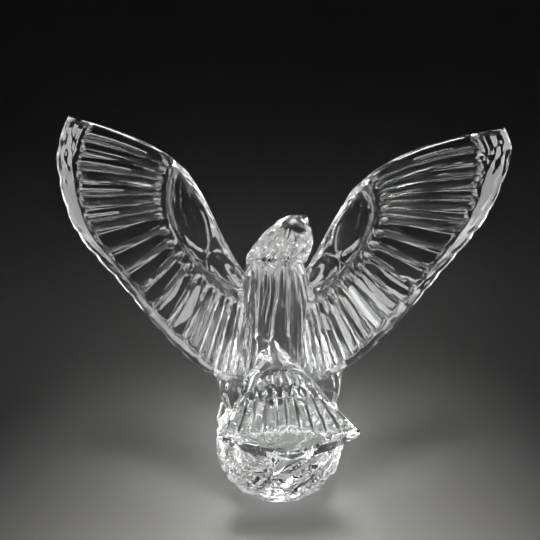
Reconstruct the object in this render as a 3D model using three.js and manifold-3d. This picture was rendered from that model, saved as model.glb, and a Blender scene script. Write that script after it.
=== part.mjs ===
// A clear crystal eagle with raised wings, perched on a rough ball of rock, all one pressing.
// Millimetres, +Z up. The origin is the centre of the flat underside, and the eagle faces +Y.
import * as THREE from 'three';
import { mergeVertices } from 'three/addons/utils/BufferGeometryUtils.js';
import Module from 'manifold-3d';

// Rock: a flattened ball of pillow-shaped lumps
const ROCK = { radius: 31.2, halfHeight: 26, centreZ: 21.5, lumps: 60, lumpHeight: 1.3, lumpEdge: 0.15 };

// Trunk: an egg-shaped section, deeper at the breast than at the back
const TRUNK = { bottomZ: 46, topZ: 128, centreY: 2, halfWidth: 16, back: 16.5, breast: 21, fullness: 2.6 };
const BREAST = { lowZ: 56, highZ: 108, lowShare: 0.62 };

// Neck hackles: a fluted dome that leans towards the side the head looks to
const HACKLES = { bottomZ: 106, hemZ: 126, topZ: 142.4, halfWidth: 13.4, depth: 12.5, hemStep: 2.4 };
const STRANDS = { count: 16, depth: 1.1, leanLow: -0.5, leanHigh: 5.4 };

// Head and hooked beak, turned from straight ahead towards +X
const HEAD = { turn: 0.5, x: 4.4, y: 7.5, z: 132.5, length: 10.5, halfWidth: 7.4, halfHeight: 8.2 };
const BEAK = { length: 12, root: 4.8, hook: 8, rise: 1.5 };
const BROW = { side: 5.4, ahead: 4.5, up: 3.2, length: 5, thick: 1.7 };

// Feathered thighs astride the rock, and the three front toes of each foot
const THIGH = { x: 17.5, y: 3, z: 62, halfWidth: 12, depth: 14.5, halfHeight: 24, tuck: 10 };
const TROUSER = { flutes: 6, depth: 0.9 };
const TOE = { turn: 0.72, rootAngle: 0.6, length: 0.7, radius: 3.6, clawRadius: 1.1, sink: 0.9 };
const TOE_FAN = [-0.45, 0, 0.45];

// Tail fan: the lines of its middle and of its side edge, from the rump to the tip
const TAIL_MIDDLE = [[0, -4, 100], [0, -18, 93], [0, -23, 79], [0, -42.5, 58.5]];
const TAIL_SIDE = [[4, -2, 94], [11, -16, 84], [17, -22, 66], [29.5, -38, 63]];
const TAIL = { feathers: 10, fluteDepth: 1.3, hood: 2.4, hoodEnd: 0.52, covert: 0.7, covertStep: 0.8 };
const TAIL_PLATE = { thickness: 6.5, edge: 1.8, gable: 1.5, sway: 2 };

// Wings: the leading edge from tip to shoulder, the hub row where the flight feathers start, and the
// trailing edge from tip to rump
const WINGS = {
  left: {
    lead: [[-82.7, 17, 180.7], [-20.1, 12, 165.4], [-37.8, 8, 145.4], [-10, 4, 107]],
    hub: [[-41.1, 12.1, 162.3], [-54, 11, 140], [-36, 8, 106], [-7, -3, 104]],
    trail: [
      [-82.7, 17, 180.7], [-88.7, 14.5, 162.7], [-84.3, 9, 135.5], [-65.8, 2, 110.6],
      [-45.6, -7, 86.7], [-27.9, -14, 73.7], [-12, -17, 71],
    ],
    hubAt: 0.35,
  },
  right: {
    lead: [[90.6, 17, 173.5], [24, 12, 165.7], [28.5, 8, 145.3], [8, 4, 111]],
    hub: [[32.6, 10.2, 152.8], [49, 11, 140], [27, 6, 104], [7, -3, 104]],
    trail: [
      [90.6, 17, 173.5], [93.6, 14.5, 161.6], [85.7, 9, 137.5], [66.8, 2, 113.2],
      [46.1, -7, 91.3], [29.4, -14, 79], [13, -17, 72],
    ],
    hubAt: 0.49,
  },
};
const WING = { hubShare: 0.26, hubThick: 6.4, tipThick: 4.6, rootGain: 0.9, edgeThick: 1.8, hubGroove: 0.8 };
const FEATHERS = { count: 14, crowd: 0.22, fluteDepth: 1.25, underDepth: 0.8, rim: 0.93, scallop: 0.7 };

// Where the rows of the meshes lie: along a wing from front to back, and across one feather
const WING_ROWS = [0, 0.06, 0.16, 0.22, 0.26, 0.32, 0.42, 0.65, 0.89, 0.945, 1];
const FEATHER_COLUMNS = [0, 0.2, 0.8];
const TAIL_ROWS = [0, 0.2, 0.36, 0.5, 0.55, 0.62, 0.7, 0.8, 0.9, 0.95, 1];

const wasm = await Module();
wasm.setup();

const vectors = (points) => points.map((p) => new THREE.Vector3(...p));
const cubic = (points) => new THREE.CubicBezierCurve3(...vectors(points));
const through = (points) => new THREE.CatmullRomCurve3(vectors(points), false, 'catmullrom');
const smooth = THREE.MathUtils.smoothstep;
const mix = THREE.MathUtils.lerp;

// Moves every vertex of a closed three.js geometry to where place says.
function warp(geometry, place) {
  const spots = geometry.attributes.position;
  const from = new THREE.Vector3();
  for (let i = 0; i < spots.count; i++) {
    const to = place(from.fromBufferAttribute(spots, i));
    spots.setXYZ(i, to.x, to.y, to.z);
  }
  return geometry;
}

// A geometry as a solid, with its faces turned outwards.
function solid(geometry) {
  geometry.deleteAttribute('normal');
  geometry.deleteAttribute('uv');
  const merged = mergeVertices(geometry, 1e-4);
  const vertProperties = merged.attributes.position.array;
  const make = (triVerts) => new wasm.Manifold(new wasm.Mesh({ numProp: 3, vertProperties, triVerts }));
  const triVerts = new Uint32Array(merged.index.array);
  const made = make(triVerts);
  return made.volume() > 0 ? made : make(triVerts.slice().reverse());
}

// How deep a flute is at a place across, counted in feathers: 0 on the ridges, 1 along the middle.
function flute(across) {
  const side = Math.abs(2 * (across - Math.floor(across)) - 1);
  return 1 - smooth(side, 0.5, 1);
}

// A place across a row of feathers, from its column number in the mesh.
function acrossFeathers(column) {
  const step = FEATHER_COLUMNS.length;
  return Math.floor(column / step) + FEATHER_COLUMNS[column % step];
}

// Unit directions spread evenly over a ball, nudged so that no rows show.
function lumpSeeds(count) {
  const golden = Math.PI * (3 - Math.sqrt(5));
  return Array.from({ length: count }, (_, k) => {
    const up = 1 - (2 * k + 1) / count + 0.06 * Math.sin(12.9898 * k);
    const turn = k * golden + 0.3 * Math.sin(78.233 * k);
    return new THREE.Vector3().setFromSphericalCoords(1, Math.acos(THREE.MathUtils.clamp(up, -1, 1)), turn);
  });
}

// The rock: a flattened ball of pillow-shaped lumps with creases between them, cut flat below.
function rock() {
  const seeds = lumpSeeds(ROCK.lumps);
  const place = (p) => {
    const out = p.clone().normalize();
    const [near, next] = seeds.map((s) => Math.acos(Math.min(1, s.dot(out)))).sort((a, b) => a - b);
    const pillow = smooth(next - near, 0, ROCK.lumpEdge);
    const reach = 1 + ((pillow - 1) * ROCK.lumpHeight) / ROCK.radius;
    const flat = out.multiplyScalar(reach);
    return new THREE.Vector3(
      flat.x * ROCK.radius,
      flat.z * ROCK.radius,
      ROCK.centreZ + flat.y * ROCK.halfHeight,
    );
  };
  const ball = solid(warp(new THREE.IcosahedronGeometry(1, 5), place));
  const floor = new THREE.BoxGeometry(4 * ROCK.radius, 4 * ROCK.radius, 2 * ROCK.radius);
  floor.translate(0, 0, -ROCK.radius);
  return ball.subtract(solid(floor));
}

// The trunk: a full egg whose belly draws in towards the legs.
function trunk() {
  const half = (TRUNK.topZ - TRUNK.bottomZ) / 2;
  const place = (p) => {
    const up = THREE.MathUtils.clamp(p.y, -1, 1);
    const z = TRUNK.bottomZ + half * (1 + up);
    const ring = Math.hypot(p.x, p.z) || 1;
    const full = (1 - Math.abs(up) ** TRUNK.fullness) ** (1 / TRUNK.fullness);
    const belly = mix(BREAST.lowShare, 1, smooth(z, BREAST.lowZ, BREAST.highZ));
    const ahead = p.z / ring;
    const depth = ahead > 0 ? TRUNK.breast * belly : TRUNK.back;
    return new THREE.Vector3((p.x / ring) * TRUNK.halfWidth * full, TRUNK.centreY + ahead * depth * full, z);
  };
  return solid(warp(new THREE.SphereGeometry(1, 24, 14), place));
}

// The hackles: a fluted dome over the neck, whose hem stands proud of the back.
function hackles() {
  const half = (HACKLES.topZ - HACKLES.bottomZ) / 2;
  const place = (p) => {
    const up = THREE.MathUtils.clamp(p.y, -1, 1);
    const z = HACKLES.bottomZ + half * (1 + up);
    const ring = Math.hypot(p.x, p.z) || 1;
    const angle = Math.atan2(p.z, p.x);
    const above = Math.max(0, (z - HACKLES.hemZ) / (HACKLES.topZ - HACKLES.hemZ));
    const round = Math.min((1 - above ** 1.5) ** 0.7, (z - HACKLES.bottomZ) / 18);
    const hem = (1 - smooth(z, HACKLES.hemZ - 1.5, HACKLES.hemZ)) * HACKLES.hemStep;
    const strand = (STRANDS.count * angle) / (2 * Math.PI);
    const groove = STRANDS.depth * smooth(above, 0, 0.15) * flute(strand);
    const lean = mix(STRANDS.leanLow, STRANDS.leanHigh, above);
    return new THREE.Vector3(
      lean + (p.x / ring) * (HACKLES.halfWidth - hem - groove) * round,
      TRUNK.centreY - 1 + above * 1.5 + (p.z / ring) * (HACKLES.depth - hem - groove) * round,
      z,
    );
  };
  return solid(warp(new THREE.SphereGeometry(1, 48, 11), place));
}

// A point of the head, given ahead of, to the right of and above its middle.
function headPoint(ahead, side, up) {
  const sin = Math.sin(HEAD.turn);
  const cos = Math.cos(HEAD.turn);
  return new THREE.Vector3(HEAD.x + ahead * sin + side * cos, HEAD.y + ahead * cos - side * sin, HEAD.z + up);
}

function skull() {
  const place = (p) => headPoint(p.x * HEAD.length, p.z * HEAD.halfWidth, p.y * HEAD.halfHeight);
  return solid(warp(new THREE.SphereGeometry(1, 14, 9), place));
}

// The beak: a tapering tube that runs forward and hooks down to its tip.
function beak() {
  const place = (p) => {
    const along = p.y + 0.5;
    const ahead = HEAD.length - 4 + BEAK.length * Math.sin((along * Math.PI) / 2) * 0.8;
    const drop = BEAK.rise * Math.sin(along * Math.PI) - BEAK.hook * along ** 2.4;
    const thick = BEAK.root * (1 - along) ** 0.6 + 0.5;
    const lean = along * 1.2;
    return headPoint(
      ahead + p.z * thick * Math.sin(lean),
      p.x * thick * 0.8,
      drop - 1 + p.z * thick * Math.cos(lean),
    );
  };
  return solid(warp(new THREE.CylinderGeometry(1, 1, 1, 10, 6), place));
}

function brow(side) {
  const place = (p) =>
    headPoint(
      BROW.ahead + p.x * BROW.length,
      side * (BROW.side - p.x * 1.2 + p.z * BROW.thick),
      BROW.up - p.x * 1.2 + p.y * BROW.thick,
    );
  return solid(warp(new THREE.SphereGeometry(1, 8, 5), place));
}

// A feathered thigh, fluted downwards.
function thigh(side) {
  const place = (p) => {
    const angle = Math.atan2(p.z, p.x);
    const groove = TROUSER.depth * flute((TROUSER.flutes * angle) / Math.PI);
    const shrink = 1 - groove / THIGH.depth;
    const inward = THIGH.tuck * Math.max(0, p.y) ** 1.5;
    return new THREE.Vector3(
      side * (THIGH.x - inward + p.x * THIGH.halfWidth * shrink),
      THIGH.y + p.z * THIGH.depth * shrink,
      THIGH.z + p.y * THIGH.halfHeight,
    );
  };
  return solid(warp(new THREE.SphereGeometry(1, 24, 8), place));
}

// A toe that lies over the front of the rock and tapers to its claw.
function toe(side, fan) {
  const place = (p) => {
    const along = p.y + 0.5;
    const fall = TOE.rootAngle + along * TOE.length;
    const turn = side * TOE.turn + fan * along * 1.3;
    const thick = mix(TOE.radius, TOE.clawRadius, along ** 1.6);
    const out = 1 + (thick - TOE.sink + p.z * thick) / ROCK.radius;
    const across = (p.x * thick) / ROCK.radius;
    return new THREE.Vector3(
      ROCK.radius * out * (Math.sin(fall) * Math.sin(turn) + across * Math.cos(turn)),
      ROCK.radius * out * (Math.sin(fall) * Math.cos(turn) - across * Math.sin(turn)),
      ROCK.centreZ + ROCK.halfHeight * out * Math.cos(fall),
    );
  };
  return solid(warp(new THREE.CylinderGeometry(1, 1, 1, 8, 4), place));
}

// The tail: a fluted fan below a smooth hood and a row of short coverts, with a chevron end and a keel.
function tail() {
  const middle = cubic(TAIL_MIDDLE);
  const side = cubic(TAIL_SIDE);
  const columns = TAIL.feathers * FEATHER_COLUMNS.length;
  const rows = TAIL_ROWS.length - 1;
  const place = (p) => {
    const across = acrossFeathers(Math.round((p.x + 0.5) * columns));
    const u = (2 * across) / TAIL.feathers - 1;
    const v = TAIL_ROWS[Math.round((p.y + 0.5) * rows)];
    const spread = Math.abs(u);
    const from = middle.getPoint(v);
    const to = side.getPoint(v);
    const on = from.lerp(to, spread ** 2);
    on.x = to.x * u + TAIL_PLATE.sway * v ** 2;
    on.y -= TAIL_PLATE.gable * Math.max(0, 1 - 3 * spread) * smooth(v, 0.85, 1);
    if (p.z < 0) {
      const deep = mix(TAIL_PLATE.thickness, TAIL_PLATE.edge, spread);
      return on.add(new THREE.Vector3(0, 0.3, -0.95).multiplyScalar(deep));
    }
    const hoodEnd = TAIL.hoodEnd + 0.1 * spread ** 2;
    const hood = TAIL.hood * (1 - smooth(v, hoodEnd - 0.02, hoodEnd + 0.03)) * (1 - spread ** 4);
    const covertStart = smooth(v, hoodEnd, hoodEnd + 0.03);
    const covertEnd = smooth(v, TAIL.covert - 0.03, TAIL.covert);
    const covert = TAIL.covertStep * covertStart * (1 - covertEnd);
    const flutes = smooth(v, hoodEnd, hoodEnd + 0.1) * (1 - smooth(v, 0.9, 0.95));
    const groove = TAIL.fluteDepth * flutes * flute(across);
    return on.add(new THREE.Vector3(0, -0.5, 0.86).multiplyScalar(hood + covert - groove));
  };
  return solid(warp(new THREE.BoxGeometry(1, 1, 1, columns, rows, 1), place));
}

// One wing: a curved slab between its leading and trailing edges. The flutes run from the hub row to a
// plain rim, on the upper side and more shallowly on the under side.
function wing({ lead, hub, trail, hubAt }) {
  const leadLine = cubic(lead);
  const hubLine = cubic(hub);
  const trailLine = through(trail);
  const sheet = (u, v) => {
    const start = hubLine.getPoint(u);
    if (v < WING.hubShare) {
      const arm = leadLine.getPoint(mix(hubAt + 0.08, 1, u));
      return arm.lerp(start, v / WING.hubShare);
    }
    const along = (v - WING.hubShare) / (1 - WING.hubShare);
    const sweep = leadLine.getPoint(hubAt * (1 - along));
    sweep.sub(hubLine.getPoint(0).lerp(trailLine.getPoint(0), along));
    const end = trailLine.getPointAt(u * (1 + FEATHERS.crowd * (1 - u)));
    return start.lerp(end, along).addScaledVector(sweep, (1 - u) ** 3);
  };
  const facing = (u, v) => {
    const reach = 0.06;
    const alongU = sheet(Math.min(1, u + reach), v).sub(sheet(Math.max(0, u - reach), v));
    const alongV = sheet(u, Math.min(1, v + reach)).sub(sheet(u, Math.max(0, v - reach)));
    const out = alongU.cross(alongV).normalize();
    return out.y > 0 ? out.negate() : out;
  };
  const columns = FEATHERS.count * FEATHER_COLUMNS.length;
  const rows = WING_ROWS.length - 1;
  const place = (p) => {
    const column = Math.round((p.x + 0.5) * columns);
    const v = WING_ROWS[Math.round((p.y + 0.5) * rows)];
    const even = column / FEATHER_COLUMNS.length;
    const across = mix(even, acrossFeathers(column), smooth(v, 0.1, WING.hubShare));
    const u = across / FEATHERS.count;
    const upper = p.z > 0;
    const swell = 1 + WING.rootGain * u ** 3;
    const body = mix(WING.hubThick, WING.tipThick, smooth(v, WING.hubShare, 1)) * swell;
    const tipEdge = smooth(u, -0.03, 0.04);
    const edge = Math.min(smooth(v, -0.06, 0.13), 1 - smooth(v, FEATHERS.rim, 1.03), tipEdge);
    const fluteStart = smooth(v, WING.hubShare, WING.hubShare + 0.18);
    const flutes = fluteStart * (1 - smooth(v, FEATHERS.rim - 0.04, FEATHERS.rim + 0.01));
    const deepest = upper ? FEATHERS.fluteDepth : FEATHERS.underDepth;
    const groove = deepest * flutes * flute(across);
    const hubDip = WING.hubGroove * (1 - smooth(Math.abs(v - WING.hubShare), 0, 0.06));
    const half = mix(WING.edgeThick, body, edge) / 2 - groove - hubDip;
    const on = sheet(u, v);
    const outward = on.clone().sub(sheet(u, v - 0.02)).normalize();
    on.addScaledVector(outward, FEATHERS.scallop * flute(across) * smooth(v, 0.9, 1));
    return on.addScaledVector(facing(u, v), upper ? half : -half);
  };
  return solid(warp(new THREE.BoxGeometry(1, 1, 1, columns, rows, 1), place));
}

function eagle() {
  const pieces = [rock(), trunk(), hackles(), skull(), beak(), tail(), wing(WINGS.left), wing(WINGS.right)];
  for (const side of [-1, 1]) {
    pieces.push(brow(side), thigh(side));
    for (const fan of TOE_FAN) pieces.push(toe(side, fan));
  }
  return pieces.reduce((whole, piece) => whole.add(piece));
}

// The joined solid as a named mesh.
function meshOf(name, body, material) {
  const { vertProperties, triVerts } = body.getMesh();
  const geometry = new THREE.BufferGeometry();
  geometry.setAttribute('position', new THREE.BufferAttribute(vertProperties, 3));
  geometry.setIndex(new THREE.BufferAttribute(triVerts, 1));
  geometry.computeVertexNormals();
  const mesh = new THREE.Mesh(geometry, material);
  mesh.name = name;
  return mesh;
}

const crystal = new THREE.MeshStandardMaterial({
  color: new THREE.Color(0.93, 0.95, 0.95),
  roughness: 0.03,
  metalness: 0,
  transparent: true,
  opacity: 0.35,
});

const figurine = new THREE.Group();
figurine.add(meshOf('crystal_eagle', eagle(), crystal));

export default figurine;
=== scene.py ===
import math
import bmesh
import bpy
import numpy as np
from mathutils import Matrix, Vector


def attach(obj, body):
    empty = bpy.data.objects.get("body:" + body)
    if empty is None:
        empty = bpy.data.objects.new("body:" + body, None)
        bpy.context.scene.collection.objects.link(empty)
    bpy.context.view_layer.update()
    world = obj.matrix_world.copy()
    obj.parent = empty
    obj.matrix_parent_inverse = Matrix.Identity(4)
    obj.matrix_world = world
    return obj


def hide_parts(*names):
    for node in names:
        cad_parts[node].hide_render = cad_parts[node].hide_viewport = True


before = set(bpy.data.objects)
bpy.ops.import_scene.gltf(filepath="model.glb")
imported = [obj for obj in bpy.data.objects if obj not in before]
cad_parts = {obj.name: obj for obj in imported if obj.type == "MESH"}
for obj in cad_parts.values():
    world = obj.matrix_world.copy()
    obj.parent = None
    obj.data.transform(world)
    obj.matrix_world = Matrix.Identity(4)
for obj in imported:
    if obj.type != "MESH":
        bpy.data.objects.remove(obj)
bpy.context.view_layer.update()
mm = 0.001  # the bird's forms are in millimetres, the studio is in metres
fullTurn = 2 * math.pi


# helpers for shaping
def smooth(x, low, high):
    t = np.clip((x - low) / (high - low), 0.0, 1.0)
    return t * t * (3 - 2 * t)


def mix(a, b, t):
    return a + (b - a) * t


def bell(x, width):
    return np.exp(-((x / width) ** 2))


def ringAt(height):
    # how wide a unit ball is at a height
    return np.sqrt(np.clip(1 - height**2, 0, 1))


def cubic(points, t):
    p = np.array(points, float)
    t = np.asarray(t, float)[..., None]
    s = 1 - t
    return s**3 * p[0] + 3 * s * s * t * p[1] + 3 * s * t * t * p[2] + t**3 * p[3]


def through(points, share, fine=60):
    # a curve through the points, read by its share of the length
    p = np.array(points, float)
    p = np.vstack([2 * p[0] - p[1], p, 2 * p[-1] - p[-2]])
    t = np.linspace(0, 1, fine, endpoint=False)[:, None]
    runs = []
    for a, b, c, d in zip(p, p[1:], p[2:], p[3:]):
        m, n = (c - a) / 2, (d - b) / 2
        runs.append(
            (2 * t**3 - 3 * t**2 + 1) * b + (t**3 - 2 * t**2 + t) * m
            + (3 * t**2 - 2 * t**3) * c + (t**3 - t**2) * n
        )
    line = np.vstack(runs + [p[-2][None]])
    steps = np.linalg.norm(np.diff(line, axis=0), axis=1)
    far = np.concatenate([[0], np.cumsum(steps)])
    share = np.clip(share, 0, 1) * far[-1]
    return np.stack([np.interp(share, far, line[:, k]) for k in range(3)], -1)


def sideOf(across):
    # 1 on the ridge between two feathers, 0 along a feather's middle
    return np.abs(2 * (across - np.floor(across)) - 1)


def furrow(side, start):
    # 1 along a feather's middle, falling to 0 at its ridges
    return 1 - smooth(side, start, 1)


def meshObject(name, points, faces):
    points = np.asarray(points)
    mesh = bpy.data.meshes.new(name)
    mesh.from_pydata((points * mm).tolist(), [], faces)
    mesh.validate()
    piece = bpy.data.objects.new(name, mesh)
    bpy.context.scene.collection.objects.link(piece)
    fans = np.array([(f[0], f[k], f[k + 1]) for f in faces for k in range(1, len(f) - 1)])
    a, b, c = (points[fans[:, k]] for k in range(3))
    if np.einsum("ij,ij->", a, np.cross(b, c)) < 0:  # inside out
        mesh.flip_normals()
    return piece


def slab(name, upper, under):
    # two grids of the same size, joined round their border
    rows, cols = upper.shape[:2]

    def at(row, col, layer):
        return layer * rows * cols + row * cols + col

    faces = []
    for r in range(rows - 1):
        for c in range(cols - 1):
            faces.append((at(r, c, 0), at(r, c + 1, 0), at(r + 1, c + 1, 0), at(r + 1, c, 0)))
            faces.append((at(r, c, 1), at(r + 1, c, 1), at(r + 1, c + 1, 1), at(r, c + 1, 1)))
    ring = [(0, c) for c in range(cols)]
    ring += [(r, cols - 1) for r in range(1, rows)]
    ring += [(rows - 1, c) for c in range(cols - 2, -1, -1)]
    ring += [(r, 0) for r in range(rows - 2, 0, -1)]
    for (r, c), (r2, c2) in zip(ring, ring[1:] + ring[:1]):
        faces.append((at(r, c, 0), at(r, c, 1), at(r2, c2, 1), at(r2, c2, 0)))
    points = np.concatenate([upper.reshape(-1, 3), under.reshape(-1, 3)])
    return meshObject(name, points, faces)


def ball(name, place, around, rows):
    # place takes the height -1 to 1 and the way round, and gives points
    turn = np.arange(around) * fullTurn / around
    up = np.cos(np.linspace(0, math.pi, rows + 1))[1:-1]
    body = place(up[:, None] + 0 * turn, 0 * up[:, None] + turn)
    poles = [place(np.array([[s]]), np.array([[0.0]]))[0, 0] for s in (1.0, -1.0)]
    points = np.concatenate([body.reshape(-1, 3), np.stack(poles)])
    n = (rows - 1) * around
    faces = []
    for c in range(around):
        d = (c + 1) % around
        faces.append((n, c, d))
        faces.append((n + 1, n - around + d, n - around + c))
        for r in range(rows - 2):
            low, high = (r + 1) * around, r * around
            faces.append((high + c, low + c, low + d, high + d))
    return meshObject(name, points, faces)


def tube(name, place, around, rows):
    # place takes the share along and the way round, and gives points
    turn = np.arange(around) * fullTurn / around
    along = np.linspace(0, 1, rows + 1)
    body = place(along[:, None] + 0 * turn, 0 * along[:, None] + turn)
    ends = [body[0].mean(0)[None], body[-1].mean(0)[None]]
    points = np.concatenate([body.reshape(-1, 3), *ends])
    n = (rows + 1) * around
    faces = []
    for c in range(around):
        d = (c + 1) % around
        faces.append((n, d, c))
        faces.append((n + 1, n - around + c, n - around + d))
        for r in range(rows):
            near, far = r * around, (r + 1) * around
            faces.append((near + c, near + d, far + d, far + c))
    return meshObject(name, points, faces)


# the rock that the bird stands on, with lumps and small chips
rockLook = {
    "radius": 31.2, "halfHeight": 26, "centreZ": 21.5, "fineness": 6,
    "lumps": 60, "lumpHeight": 1.1, "lumpEdge": 0.15,
    "chips": 90, "chipHeight": 1.0, "chipEdge": 0.12,
    "swirl": 0.2, "swirlPace": 4.3, "swirlStart": (0.4, 1.7, 2.9),
    "seedRise": 0.06, "seedRisePace": 12.9898, "seedTurn": 0.3, "seedTurnPace": 78.233,
}


def spreadSeeds(count):
    # spread over a ball by the golden angle, a little out of step
    look = rockLook
    k = np.arange(count)
    up = 1 - (2 * k + 1) / count + look["seedRise"] * np.sin(look["seedRisePace"] * k)
    up = np.clip(up, -1, 1)
    turn = k * math.pi * (3 - math.sqrt(5)) + look["seedTurn"] * np.sin(look["seedTurnPace"] * k)
    ring = ringAt(up)
    return np.stack([ring * np.sin(turn), ring * np.cos(turn), up], -1)


def pillows(out, count, edge):
    # 0 in the seams between neighbouring seeds, 1 away from them
    angles = np.arccos(np.clip(out @ spreadSeeds(count).T, -1, 1))
    near = np.partition(angles, 1, axis=1)[:, :2]
    return smooth(near[:, 1] - near[:, 0], 0, edge)


def makeRock():
    k = rockLook
    bpy.ops.mesh.primitive_ico_sphere_add(subdivisions=k["fineness"], radius=1)
    source = bpy.context.object
    out = np.array([v.co[:] for v in source.data.vertices])
    out /= np.linalg.norm(out, axis=1)[:, None]
    faces = [tuple(p.vertices) for p in source.data.polygons]
    bpy.data.objects.remove(source)
    lumps = pillows(out, k["lumps"], k["lumpEdge"])
    reach = 1 + (lumps - 1) * k["lumpHeight"] / k["radius"]
    bent = out + k["swirl"] * np.sin(k["swirlPace"] * out[:, [1, 2, 0]] + k["swirlStart"])
    bent /= np.linalg.norm(bent, axis=1)[:, None]
    chips = pillows(bent, k["chips"], k["chipEdge"])
    reach += (chips - 1) * k["chipHeight"] / k["radius"]
    points = out * reach[:, None] * [k["radius"], k["radius"], k["halfHeight"]]
    points[:, 2] += k["centreZ"]
    return meshObject("rockForm", points, faces)


# trunk, with small breast feathers in front and finer plumes on the flanks behind
trunkLook = {
    "bottomZ": 46, "topZ": 128, "centreX": -2, "centreY": 2,
    "halfWidth": 16, "back": 16.5, "breast": 21, "fullness": 2.6,
    "bellyLowZ": 56, "bellyHighZ": 108, "bellyShare": 0.62,
    "plumes": 18, "flankPlumes": 30, "plumeDepth": 0.45, "flankShare": 1.8,
    "tierZ": 66, "tierStep": 0.7, "tierArch": 4, "tierEdge": 0.8,
    "around": 140, "rows": 60,
}


def makeTrunk():
    k = trunkLook

    def place(up, turn):
        half = (k["topZ"] - k["bottomZ"]) / 2
        z = k["bottomZ"] + half * (1 + up)
        full = np.clip(1 - np.abs(up) ** k["fullness"], 0, 1) ** (1 / k["fullness"])
        belly = mix(k["bellyShare"], 1, smooth(z, k["bellyLowZ"], k["bellyHighZ"]))
        ahead = np.sin(turn)
        depth = np.where(ahead > 0, k["breast"] * belly, k["back"])
        count = np.where(ahead > 0, k["plumes"], k["flankPlumes"])
        plume = sideOf(count * turn / fullTurn)
        relief = -k["plumeDepth"] * furrow(plume, 0.4)
        tier = k["tierZ"] + k["tierArch"] * plume**2
        relief += k["tierStep"] * smooth(z, tier - k["tierEdge"], tier)
        share = smooth(ahead, 0.05, 0.4) + k["flankShare"] * smooth(-ahead, 0.05, 0.3)
        relief *= share * smooth(full, 0.3, 0.7)  # none on the sides and at both ends
        grow = 1 + relief / k["breast"]
        x = k["centreX"] + np.cos(turn) * k["halfWidth"] * full * grow
        y = k["centreY"] + ahead * depth * full * grow
        return np.stack([x, y, z], -1)

    return ball("trunkForm", place, k["around"], k["rows"])


# the strip down the back: two hollow bands, with a bent ridge between them
stripLook = {
    "lowZ": 92, "highZ": 127.8, "lowY": -15.8, "highY": -12.2,
    "centreX": -3.9, "halfLow": 8.9, "halfHigh": 8.6, "rootY": -2, "rootShare": 0.8,
    "ridgeLowX": -0.26, "ridgeHighX": 0.04, "ridgeLow": 0.3, "ridgeHigh": 0.25,
    "ridgeHeight": 1.9, "ridgeGain": 0.9, "hollow": 1.0,
    "rimAt": 0.84, "rimHeight": 1.3, "rimWidth": 0.11, "round": 2.5,
    "runOut": 3.2, "runOutShare": 0.16,
    "rows": 40, "columns": 61,
}


def makeStrip():
    k = stripLook
    t = np.linspace(0, 1, k["rows"])[:, None]
    q = np.sin(np.linspace(-1, 1, k["columns"]) * math.pi / 2)[None, :]
    z = mix(k["lowZ"], k["highZ"], t) + 0 * q
    x = k["centreX"] + mix(k["halfLow"], k["halfHigh"], t) * q
    down = 1 - smooth(t, 0.2, 0.8)
    away = q - mix(k["ridgeHighX"], k["ridgeLowX"], down)
    ridge = mix(k["ridgeHigh"], k["ridgeLow"], down)  # broader and higher towards the tail
    out = (k["ridgeHeight"] + k["ridgeGain"] * down) * np.exp(-((away / ridge) ** 4))
    out = out - k["hollow"] * np.sin(math.pi * np.clip(np.abs(away), 0, 1))
    out = out + k["rimHeight"] * bell(np.abs(q) - k["rimAt"], k["rimWidth"])
    out = out - k["round"] * np.abs(q) ** 8
    out = out - k["runOut"] * (1 - smooth(t, 0, k["runOutShare"]))  # its lower end sinks in
    y = mix(k["lowY"], k["highY"], t) - out
    upper = np.stack([x, y, z], -1)
    rootX = k["centreX"] + k["rootShare"] * (x - k["centreX"])
    under = np.stack([rootX, k["rootY"] + 0 * y, z], -1)
    return slab("stripForm", upper, under)


# neck hackles, leaning with the head
hackleLook = {
    "bottomZ": 106, "hemZ": 127.2, "topZ": 139.8, "halfWidth": 12.8, "depth": 14.4, "throat": 12,
    "hemStep": 4.4, "hemEdge": 0.5, "hemTilt": 8, "hemLevel": 0.6,
    "dome": 0.62, "throatDome": 1.7, "backDome": 3, "neckRise": 18,
    "strands": 13, "strandDepth": 2.2, "strandWave": 0.3, "strandTwist": 0.2,
    "leanLow": -2.3, "leanHigh": 5.4, "setBack": 1, "forward": 1.5, "nod": 4,
    "around": 160, "rows": 66,
}


def makeHackles():
    k = hackleLook

    def place(up, turn):
        z = k["bottomZ"] + (k["topZ"] - k["bottomZ"]) / 2 * (1 + up)
        rise = smooth(-np.sin(turn), 0, 1) - k["hemLevel"]
        hemZ = k["hemZ"] + k["hemTilt"] * rise  # higher over the back
        above = np.clip((z - hemZ) / (k["topZ"] - hemZ), 0, 1)
        behind = smooth(-np.sin(turn), -0.7, 0)
        dome = (1 - above ** mix(k["throatDome"], k["backDome"], behind)) ** k["dome"]
        roundness = np.minimum(dome, (z - k["bottomZ"]) / k["neckRise"])
        depth = mix(k["throat"], k["depth"], behind)
        hem = (1 - smooth(z, hemZ - k["hemEdge"], hemZ)) * k["hemStep"]
        strand = k["strands"] * turn / fullTurn + k["strandWave"] * np.sin(3 * turn)
        strand = strand + k["strandTwist"] * np.sin(5 * turn + 3 * above)
        fade = smooth(above, 0.08, 0.2)  # the hem itself is plain
        groove = fade * k["strandDepth"] * furrow(sideOf(strand), 0.3)
        groove = groove / np.maximum(roundness, 0.35) * (1 - above**6)
        lean = mix(k["leanLow"], k["leanHigh"], above)
        x = lean + np.cos(turn) * (k["halfWidth"] - hem - groove) * roundness
        middle = trunkLook["centreY"] - k["setBack"] + above * k["forward"] + k["nod"] * above**3
        y = middle + np.sin(turn) * (depth - hem - groove) * roundness
        return np.stack([x, y, z], -1)

    return ball("hackleForm", place, k["around"], k["rows"])


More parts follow.
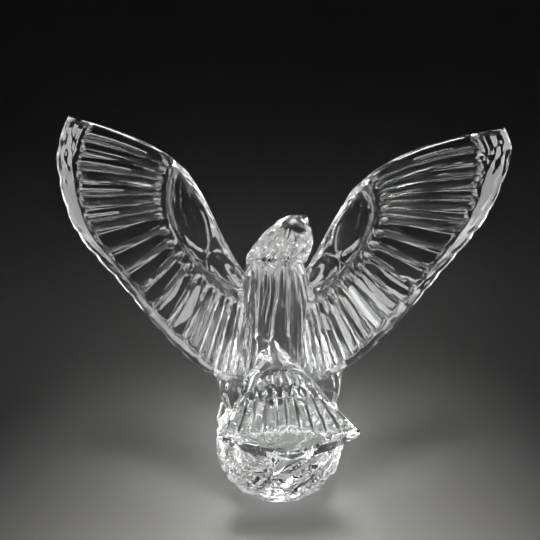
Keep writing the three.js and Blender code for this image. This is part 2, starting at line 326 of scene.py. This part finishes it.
# head with brows, eyes and hooked beak, turned to one side
headLook = {
    "turn": 0.5, "x": 4.4, "y": 6.8, "z": 131.5,
    "length": 10.5, "halfWidth": 7.4, "halfHeight": 8.2, "combs": 14, "combDepth": 0.5,
    "beakLength": 12, "beakSink": 4, "beakReach": 0.8, "beakDrop": 1, "beakRise": 1.5,
    "beakHook": 8, "hookCurve": 2.4, "beakLean": 1.2,
    "beakRoot": 4.8, "beakTaper": 0.6, "beakTip": 0.5, "beakSlim": 0.8,
    "mouthDepth": 0.12, "mouthDown": 0.35, "mouthWidth": 0.12,
    "browSide": 4.9, "browAhead": 4.3, "browUp": 3.1,
    "browLength": 5.6, "browThick": 1.9, "browSlant": 1.2,
    "eyeSide": 6.1, "eyeAhead": 5.2, "eyeUp": 0.9, "eyeRadius": 1.9, "eyeFlat": 0.5,
}


def headPoint(ahead, side, up):
    k = headLook
    s, c = math.sin(k["turn"]), math.cos(k["turn"])
    x = k["x"] + ahead * s + side * c
    y = k["y"] + ahead * c - side * s
    return np.stack([x, y, k["z"] + up], -1)


def makeHead():
    k = headLook

    def skull(front, turn):
        comb = k["combDepth"] * furrow(sideOf(k["combs"] * turn / fullTurn), 0.4)
        comb = comb * (1 - smooth(front, 0.1, 0.5))  # none on the face
        ring = ringAt(front)
        wide, tall = ring * (k["halfWidth"] - comb), ring * (k["halfHeight"] - comb)
        return headPoint(front * k["length"], np.sin(turn) * wide, np.cos(turn) * tall)

    def beak(along, turn):
        bow = np.sin(along * math.pi / 2)
        ahead = k["length"] - k["beakSink"] + k["beakLength"] * bow * k["beakReach"]
        drop = k["beakRise"] * np.sin(along * math.pi) - k["beakHook"] * along ** k["hookCurve"]
        thick = k["beakRoot"] * (1 - along) ** k["beakTaper"] + k["beakTip"]
        line = bell(np.sin(turn) + k["mouthDown"], k["mouthWidth"])
        mouth = 1 - k["mouthDepth"] * line * (1 - along)
        lean = along * k["beakLean"]
        wide = np.cos(turn) * thick * k["beakSlim"] * mouth
        tall = np.sin(turn) * thick * mouth
        up = drop - k["beakDrop"] + tall * np.cos(lean)
        return headPoint(ahead + tall * np.sin(lean), wide, up)

    forms = [ball("skullForm", skull, 108, 40), tube("beakForm", beak, 40, 28)]
    for side in (-1, 1):

        def brow(up, turn):
            ring = ringAt(up)
            x, z = np.cos(turn) * ring, np.sin(turn) * ring
            return headPoint(
                k["browAhead"] + x * k["browLength"],
                side * (k["browSide"] - x * k["browSlant"] + z * k["browThick"]),
                k["browUp"] - x * k["browSlant"] + up * k["browThick"],
            )

        def eye(up, turn):
            ring = ringAt(up) * k["eyeRadius"]
            return headPoint(
                k["eyeAhead"] + np.cos(turn) * ring,
                side * (k["eyeSide"] + k["eyeFlat"] * np.sin(turn) * ring),
                k["eyeUp"] + up * k["eyeRadius"],
            )

        forms += [ball("browForm", brow, 28, 18), ball("eyeForm", eye, 28, 18)]
    return forms


# feathered thighs and taloned toes
legLook = {
    "x": 17.5, "y": 3, "z": 62, "halfWidth": 12, "depth": 14.5, "halfHeight": 24,
    "tuck": 10, "tuckCurve": 1.5, "flutes": 6, "fluteDepth": 0.5,
    "toeTurn": 0.72, "toeFan": (-0.45, 0, 0.45), "toeSpread": 1.3,
    "toeRootAngle": 0.6, "toeLength": 0.7, "toeSink": 0.9,
    "toeRadius": 3.6, "clawRadius": 1.1, "toeTaper": 1.6, "knuckle": 0.12, "knuckles": 6,
}


def makeLegs():
    k = legLook
    r = rockLook
    forms = []
    for side in (-1, 1):

        def thigh(up, turn):
            groove = k["fluteDepth"] * furrow(sideOf(k["flutes"] * turn / math.pi), 0.4)
            shrink = ringAt(up) * (1 - groove / k["depth"])
            inward = k["tuck"] * np.maximum(0, up) ** k["tuckCurve"]
            return np.stack([
                side * (k["x"] - inward + np.cos(turn) * k["halfWidth"] * shrink),
                k["y"] + np.sin(turn) * k["depth"] * shrink,
                k["z"] + up * k["halfHeight"],
            ], -1)

        forms.append(ball("thighForm", thigh, 96, 44))
        for fan in k["toeFan"]:

            def toe(along, turn):
                # lies along the rock
                fall = k["toeRootAngle"] + along * k["toeLength"]
                swing = side * k["toeTurn"] + fan * along * k["toeSpread"]
                thick = mix(k["toeRadius"], k["clawRadius"], along ** k["toeTaper"])
                knuckles = np.cos(along * k["knuckles"] * math.pi)
                thick = thick * (1 + k["knuckle"] * knuckles * (1 - along))
                out = 1 + (thick - k["toeSink"] + np.cos(turn) * thick) / r["radius"]
                across = np.sin(turn) * thick / r["radius"]
                return np.stack([
                    r["radius"] * out * (np.sin(fall) * np.sin(swing) + across * np.cos(swing)),
                    r["radius"] * out * (np.sin(fall) * np.cos(swing) - across * np.sin(swing)),
                    r["centreZ"] + r["halfHeight"] * out * np.cos(fall),
                ], -1)

            forms.append(tube("toeForm", toe, 24, 26))
    return forms


# tail fan: hood, row of coverts, long flutes and a plain chevron rim
tailLook = {
    "middle": [[0, -4, 100], [0, -18, 93], [0, -23, 79], [0, -42.5, 58.5]],
    "side": [[4, -2, 94], [11, -16, 84], [17, -22, 66], [29.5, -38, 63]],
    "feathers": 10, "perFeather": 10, "rows": 64, "hoodX": -4.2, "sway": 2,
    "thickness": 8.2, "edge": 3.4, "underWay": (0, 0.3, -0.95), "upperWay": (0, -0.5, 0.86),
    "hood": 2.4, "hoodEnd": 0.52, "hoodArch": 0.22,
    "shoulderDrop": 8, "shoulderX": 9, "shoulderRound": 0.12,
    "covert": 0.67, "covertStep": 0.8, "covertArch": 0.03, "covertFlutes": 0.25,
    "fluteDepth": 1.6, "gable": 1.5, "rim": 0.978, "rimChevron": 0.055, "rimArch": 0.015,
}


def makeTail():
    k = tailLook
    across = np.linspace(0, k["feathers"], k["feathers"] * k["perFeather"] + 1)[None, :]
    v = np.linspace(0, 1, k["rows"])[:, None] + 0 * across  # from the root to the end
    across = across + 0 * v
    u = 2 * across / k["feathers"] - 1
    spread = np.abs(u)
    start, end = cubic(k["middle"], v), cubic(k["side"], v)
    on = start + (end - start) * (spread**2)[..., None]
    swing = mix(k["hoodX"], k["sway"], smooth(v, 0.15, 0.95))
    on[..., 0] = end[..., 0] * u + swing
    on[..., 1] -= k["gable"] * np.maximum(0, 1 - 3 * spread) * smooth(v, 0.85, 1)
    deep = mix(k["thickness"], k["edge"], spread**3)
    under = on + np.array(k["underWay"]) * deep[..., None]

    side = sideOf(across)
    hoodEnd = k["hoodEnd"] + k["hoodArch"] * spread**2
    hood = k["hood"] * (1 - smooth(v, hoodEnd - 0.015, hoodEnd + 0.02)) * (1 - spread**4)
    slant = np.hypot((on[..., 0] - swing) / k["shoulderX"], k["shoulderRound"])
    hood -= k["shoulderDrop"] * slant * (1 - smooth(v, 0.3, k["hoodEnd"]))
    covertEdge = k["covert"] - k["covertArch"] * side**2
    covert = k["covertStep"] * smooth(v, hoodEnd, hoodEnd + 0.03)
    covert = covert * (1 - smooth(v, covertEdge - 0.012, covertEdge))
    rim = k["rim"] - k["rimChevron"] * (1 - spread) - k["rimArch"] * side**2
    flutes = mix(k["covertFlutes"], 1, smooth(v, covertEdge - 0.01, covertEdge + 0.04))
    flutes = flutes * smooth(v, hoodEnd, hoodEnd + 0.06)
    flutes *= 1 - smooth(v, rim - 0.03, rim)
    groove = k["fluteDepth"] * flutes * (1 - smooth(side, 0.6, 0.98))
    upper = on + np.array(k["upperWay"]) * (hood + covert - groove)[..., None]
    return slab("tailForm", upper, under)


# wings: leading edge, hub row and trailing edge of each
wingLook = {
    "left": {
        "lead": [[-82.7, 17, 180.7], [-20.1, 12, 165.4], [-37.8, 8, 145.4], [-10, 4, 107]],
        "hub": [[-41.1, 12.1, 162.3], [-54, 11, 140], [-36, 8, 106], [-7, -3, 104]],
        "trail": [[-82.7, 17, 180.7], [-88.7, 14.5, 162.7], [-84.3, 9, 135.5], [-65.8, 2, 110.6],
                  [-45.6, -7, 86.7], [-27.9, -14, 73.7], [-12, -17, 71]],
        "hubAt": 0.35,
    },
    "right": {
        "lead": [[90.6, 17, 173.5], [24, 12, 165.7], [28.5, 8, 145.3], [8, 4, 111]],
        "hub": [[32.6, 10.2, 152.8], [49, 11, 140], [27, 6, 104], [7, -3, 104]],
        "trail": [[90.6, 17, 173.5], [93.6, 14.5, 161.6], [85.7, 9, 137.5], [66.8, 2, 113.2],
                  [46.1, -7, 91.3], [29.4, -14, 79], [13, -17, 72]],
        "hubAt": 0.49,
    },
    "hubShare": 0.26, "armStart": 0.08, "hubThick": 6.4, "tipThick": 4.6, "edgeThick": 0.3,
    "leadThin": 0.62, "rootGain": 0.9, "hubGroove": 0.8,
    "feathers": 14, "crowd": 0.22, "fluteDepth": 1.25, "underDepth": 0.35,
    "ribStart": 0.04, "ribEnd": 0.15, "halfRib": 0.75, "floorDip": 0.12,
    "rim": 0.93, "tipRim": 0.915, "capRound": 0.035, "scallop": 0.5,
    "rimBevel": 1.9, "bevelEase": 0.6, "ripple": 0.045,
    "leadRound": 0.04, "tipRound": 0.035, "endRound": 0.012,
    "leaves": ((0.29, 0.125, 0.31, 0.105), (0.78, 0.12, 0.17, 0.10)),
    "leafDip": 0.9, "leafLip": 0.4, "armWave": 0.25,
    "perFeather": 12, "gather": 0.55,
    "rowRuns": (
        (0, 0.01, 4), (0.01, 0.05, 5), (0.05, 0.3, 30), (0.3, 0.84, 18),
        (0.84, 0.965, 18), (0.965, 0.99, 4), (0.99, 1, 4),
    ),
}


def wingSheet(w, u, v):
    # the middle of the wing: u from the tip to the root, v from the leading edge to the rim
    k = wingLook
    start = cubic(w["hub"], u)
    arm = cubic(w["lead"], mix(w["hubAt"] + k["armStart"], 1, u))
    onArm = arm + (start - arm) * (v / k["hubShare"])[..., None]
    along = np.clip((v - k["hubShare"]) / (1 - k["hubShare"]), 0, 1)
    a = along[..., None]
    straight = mix(np.array(w["hub"][0], float), np.array(w["trail"][0], float), a)
    sweep = cubic(w["lead"], w["hubAt"] * (1 - along)) - straight
    end = through(w["trail"], u * (1 + k["crowd"] * (1 - u)))
    onFeather = start + (end - start) * a + sweep * ((1 - u) ** 3)[..., None]
    return np.where((v < k["hubShare"])[..., None], onArm, onFeather)


def wingFacing(w, u, v, reach=0.06):
    # the way the back of the wing faces
    alongU = wingSheet(w, np.minimum(1, u + reach), v) - wingSheet(w, np.maximum(0, u - reach), v)
    alongV = wingSheet(w, u, np.minimum(1, v + reach)) - wingSheet(w, u, np.maximum(0, v - reach))
    out = np.cross(alongU, alongV)
    out /= np.linalg.norm(out, axis=-1)[..., None]
    return out * np.where(out[..., 1:2] > 0, -1, 1)


def rounded(inward, reach):
    # half-round border
    return np.sqrt(np.clip(1 - np.clip(1 - inward / reach, 0, 1) ** 2, 0, 1))


def makeWing(name):
    k = wingLook
    w = k[name]
    across = np.linspace(0, k["feathers"], k["feathers"] * k["perFeather"] + 1)[None, :]
    # finer columns along the ribs
    across = across - k["gather"] * np.sin(4 * math.pi * across) / (4 * math.pi)
    rows = [np.linspace(a, b, n, endpoint=False) for a, b, n in k["rowRuns"]]
    v = np.concatenate(rows + [[1.0]])[:, None] + 0 * across
    across = across + 0 * v
    u = across / k["feathers"]
    side = sideOf(across)
    # half feathers at the tip and the root
    finer = np.maximum(1 - smooth(u, 0.28, 0.36), smooth(u, 0.66, 0.74))
    halfSide = sideOf(2 * across) * (1 - smooth(side, 0.45, 0.55)) * finer

    # thickness, thin at the border
    body = mix(k["hubThick"], k["tipThick"], smooth(v, k["hubShare"], 1))
    body = body * (1 + k["rootGain"] * u**3)
    edge = rounded(v, k["leadRound"]) * rounded(1 - v, k["tipRound"]) * rounded(u, k["endRound"])
    edge *= mix(k["leadThin"], 1, smooth(v, 0, 0.12))
    hubDip = k["hubGroove"] * (1 - smooth(np.abs(v - k["hubShare"]), 0, 0.05))
    thick = mix(k["edgeThick"], body, edge) / 2 - hubDip

    # flutes between ribs that widen towards the rim
    rimAt = mix(k["tipRim"], k["rim"], u)
    cap = rimAt - k["capRound"] * (1 - np.sqrt(1 - side**2 * 0.98))
    begin = k["hubShare"] + 0.02 + 0.05 * side**2
    flutes = smooth(v, begin, begin + 0.12) * (1 - smooth(v, cap - 0.02, cap))
    rib = mix(k["ribStart"], k["ribEnd"], smooth(v, k["hubShare"], k["rim"]))
    channel = 1 - smooth(side, 0.85 - rib, 1 - 0.3 * rib)
    channel *= 1 - k["halfRib"] * smooth(halfSide, 0.62, 0.97)
    channel *= 1 - k["floorDip"] + k["floorDip"] * np.cos(side * math.pi / 2)

    # leaf hollows and a slight wave on the arm
    leaf = 0 * u
    for atU, atV, wideU, wideV in k["leaves"]:
        far = np.hypot((u - atU) / wideU, (v - atV) / wideV)
        leaf += k["leafLip"] * bell(far - 1, 0.1) - k["leafDip"] * (1 - smooth(far, 0.62, 0.98))
    leaf += k["armWave"] * np.sin(13 * u + 20 * v) * (1 - smooth(v, 0.2, k["hubShare"]))
    leaf = leaf * smooth(v, 0.0, 0.06)

    # bevelled rim, uneven towards the tip
    slope = rimAt - 0.3 * k["capRound"] + 0.012
    bevel = k["rimBevel"] * (1 - k["bevelEase"] * smooth(u, 0.35, 0.7))
    bevel = bevel * np.clip((v - slope) / (0.985 - slope), 0, 1) * edge
    ripple = np.sin(fullTurn * (26 * v + 0.9 * across))
    ripple = ripple + 0.8 * np.sin(fullTurn * (17 * v - 1.3 * across + 0.3))
    ripple *= k["ripple"] * smooth(v, cap, cap + 0.02) * (1 - smooth(u, 0.4, 0.6)) * edge

    on, out = wingSheet(w, u, v), wingFacing(w, u, v)
    back = on - wingSheet(w, u, v - 0.02)
    back /= np.linalg.norm(back, axis=-1)[..., None]
    on = on + back * (k["scallop"] * furrow(side, 0.5) * smooth(v, 0.9, 1))[..., None]
    relief = thick - bevel + ripple + leaf - k["fluteDepth"] * flutes * channel
    upper = on + out * relief[..., None]
    under = on - out * (thick - k["underDepth"] * flutes * channel)[..., None]
    return slab(name + "WingForm", upper, under)


# joining the forms into one body
bodyLook = {"knifeSize": 0.2, "sliver": 3e-7, "crumb": 100, "sharpAngle": 38}


def joinWith(piece, other, kind="UNION"):
    tool = piece.modifiers.new("join", "BOOLEAN")
    tool.operation = kind
    tool.object = other
    tool.solver = "MANIFOLD"
    bpy.context.view_layer.objects.active = piece
    bpy.ops.object.modifier_apply(modifier=tool.name)
    bpy.data.objects.remove(other)


def cutFlat(piece):
    # the ground underside of the rock
    size = bodyLook["knifeSize"]
    bpy.ops.mesh.primitive_cube_add(size=size, location=(0, 0, -size / 2))
    joinWith(piece, bpy.context.object, "DIFFERENCE")


def tidyMesh(mesh):
    # crumbs and slivers that the joins leave
    work = bmesh.new()
    work.from_mesh(mesh)
    bmesh.ops.dissolve_degenerate(work, dist=bodyLook["sliver"], edges=work.edges)
    left, crumbs = set(work.verts), []
    while left:
        group, edge = set(), [left.pop()]
        while edge:
            at = edge.pop()
            group.add(at)
            near = {e.other_vert(at) for e in at.link_edges} & left
            left -= near
            edge += near
        if len(group) < bodyLook["crumb"]:
            crumbs += group
    bmesh.ops.delete(work, geom=crumbs, context="VERTS")
    work.to_mesh(mesh)
    work.free()


print("stage: forms")
eagle = makeRock()
cutFlat(eagle)
forms = [makeTrunk(), makeStrip(), makeHackles(), *makeHead(), *makeLegs(), makeTail()]
forms += [makeWing("left"), makeWing("right")]
for form in forms:
    joinWith(eagle, form)
tidyMesh(eagle.data)
eagle.name = "crystalEagle"
eagle.data.name = "crystalEagle"
print("stage: joined,", sum(len(f.vertices) - 2 for f in eagle.data.polygons), "triangles")

for face in eagle.data.polygons:
    face.use_smooth = True
eagle.data.set_sharp_from_angle(angle=math.radians(bodyLook["sharpAngle"]))

# clear crystal, with a very slight wave in the surface
crystalLook = {
    "tint": (0.97, 0.985, 0.98, 1), "ior": 1.56, "roughness": 0.015,
    "waveScale": 140, "waveDetail": 2, "waveStrength": 0.02, "waveDepth": 0.001,
}


def crystalMaterial():
    k = crystalLook
    made = bpy.data.materials.new("clearCrystal")
    made.use_nodes = True
    nodes, links = made.node_tree.nodes, made.node_tree.links
    glass = nodes["Principled BSDF"]
    glass.inputs["Base Color"].default_value = k["tint"]
    glass.inputs["Transmission Weight"].default_value = 1.0
    glass.inputs["IOR"].default_value = k["ior"]
    glass.inputs["Roughness"].default_value = k["roughness"]
    place = nodes.new("ShaderNodeTexCoord")
    wave = nodes.new("ShaderNodeTexNoise")
    wave.inputs["Scale"].default_value = k["waveScale"]
    wave.inputs["Detail"].default_value = k["waveDetail"]
    bump = nodes.new("ShaderNodeBump")
    bump.inputs["Strength"].default_value = k["waveStrength"]
    bump.inputs["Distance"].default_value = k["waveDepth"]
    links.new(place.outputs["Object"], wave.inputs["Vector"])
    links.new(wave.outputs["Fac"], bump.inputs["Height"])
    links.new(bump.outputs["Normal"], glass.inputs["Normal"])
    return made


eagle.data.materials.clear()
eagle.data.materials.append(crystalMaterial())
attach(eagle, "root")
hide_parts("crystal_eagle")
print("stage: crystal")

# floor and lights; each box has its azimuth, elevation, size and brightness
studio = {
    "floorRadius": 1.6, "floorThick": 0.01, "floorZ": -0.0052,
    "floorColour": (0.74, 0.73, 0.71, 1), "floorRoughness": 0.7, "floorShine": 0.1,
    "surround": (0.005, 0.005, 0.0055, 1),
    "aim": (0, 0, 0.1), "boxDistance": 0.8, "lowDistance": 0.29,
    "boxes": (
        (0, 20, (0.66, 0.16), 9),
        (42, 14, (0.25, 0.3), 8), (318, 14, (0.25, 0.3), 8),
        (62, 5, (0.2, 0.22), 8), (298, 5, (0.2, 0.22), 8),
        (90, 12, (0.15, 0.3), 18), (270, 12, (0.15, 0.3), 20),
        (45, 40, (0.15, 0.3), 5), (325, 40, (0.15, 0.3), 5),
        (135, 12, (0.15, 0.3), 18), (225, 12, (0.15, 0.3), 18),
        (180, 40, (0.3, 0.15), 9),
    ),
    "lowBoxes": ((297, -5, (0.16, 0.11), 5.5), (63, -5, (0.16, 0.11), 5.5)),
    "poolPower": 0.075, "poolSize": 0.25, "poolAngle": 24, "poolAhead": 0.12, "poolHeight": 0.6,
    "bounces": 32, "glassBounces": 28, "mirrorBounces": 8,
}
cameraLook = {
    "azimuth": -2, "elevation": 32, "distance": 0.317, "aim": (-0.0045, 0, 0.119),
    "focal": 760, "imageWidth": 540, "sensor": 36, "nearest": 0.01,
}


def outward(azimuth, elevation):
    # azimuth 0 is behind the bird, where the camera stands, and 90 is on the camera's right
    az, el = math.radians(azimuth), math.radians(elevation)
    return Vector((math.sin(az) * math.cos(el), -math.cos(az) * math.cos(el), math.sin(el)))


def makeFloor():
    bpy.ops.mesh.primitive_cylinder_add(
        vertices=160, radius=studio["floorRadius"], depth=studio["floorThick"],
        location=(0, 0, studio["floorZ"]),
    )
    floor = bpy.context.object
    floor.name = "paleFloor"
    made = bpy.data.materials.new("palePaint")
    made.use_nodes = True
    paint = made.node_tree.nodes["Principled BSDF"]
    paint.inputs["Base Color"].default_value = studio["floorColour"]
    paint.inputs["Roughness"].default_value = studio["floorRoughness"]
    paint.inputs["Specular IOR Level"].default_value = studio["floorShine"]
    floor.data.materials.append(made)


def placeLamp(name, lamp, place, aim):
    holder = bpy.data.objects.new(name, lamp)
    holder.location = place
    holder.rotation_euler = (Vector(aim) - Vector(place)).to_track_quat("-Z", "Y").to_euler()
    holder.visible_camera = False
    bpy.context.scene.collection.objects.link(holder)
    return holder


def softBox(azimuth, elevation, size, brightness, distance, lit):
    # brightness is that of the panel itself
    lamp = bpy.data.lights.new("softBox", "AREA")
    lamp.shape = "RECTANGLE"
    lamp.size, lamp.size_y = size
    lamp.energy = brightness * math.pi * size[0] * size[1]
    place = Vector(studio["aim"]) + outward(azimuth, elevation) * distance
    holder = placeLamp("softBox", lamp, place, studio["aim"])
    holder.light_linking.receiver_collection = lit


def poolLight():
    # a soft pool of light on the floor, on the camera's side of the rock
    lamp = bpy.data.lights.new("poolLight", "AREA")
    lamp.shape = "DISK"
    lamp.size = studio["poolSize"]
    lamp.energy = studio["poolPower"]
    lamp.spread = math.radians(studio["poolAngle"])
    y = -studio["poolAhead"]
    placeLamp("poolLight", lamp, (0, y, studio["poolHeight"]), (0, y, 0))


def makeCamera():
    k = cameraLook
    back = outward(k["azimuth"], k["elevation"])
    data = bpy.data.cameras.new("photoCamera")
    data.sensor_width = k["sensor"]
    data.lens = k["sensor"] * k["focal"] / k["imageWidth"]
    data.clip_start = k["nearest"]
    holder = bpy.data.objects.new("photoCamera", data)
    holder.location = Vector(k["aim"]) + back * k["distance"]
    holder.rotation_euler = back.to_track_quat("Z", "Y").to_euler()
    bpy.context.scene.collection.objects.link(holder)
    bpy.context.scene.camera = holder


makeFloor()
poolLight()
litByBoxes = bpy.data.collections.new("litByBoxes")  # the boxes light the bird alone
litByBoxes.objects.link(eagle)
for distance, boxes in (("boxDistance", "boxes"), ("lowDistance", "lowBoxes")):
    for azimuth, elevation, size, brightness in studio[boxes]:
        softBox(azimuth, elevation, size, brightness, studio[distance], litByBoxes)
makeCamera()
surround = bpy.data.worlds.new("darkStudio")
surround.use_nodes = True
surround.node_tree.nodes["Background"].inputs["Color"].default_value = studio["surround"]
bpy.context.scene.world = surround
bpy.context.scene.view_settings.view_transform = "Standard"
cycles = bpy.context.scene.cycles
cycles.max_bounces = studio["bounces"]
cycles.transmission_bounces = studio["glassBounces"]
cycles.glossy_bounces = studio["mirrorBounces"]
cycles.caustics_refractive = True
cycles.caustics_reflective = True
print("stage: studio ready")
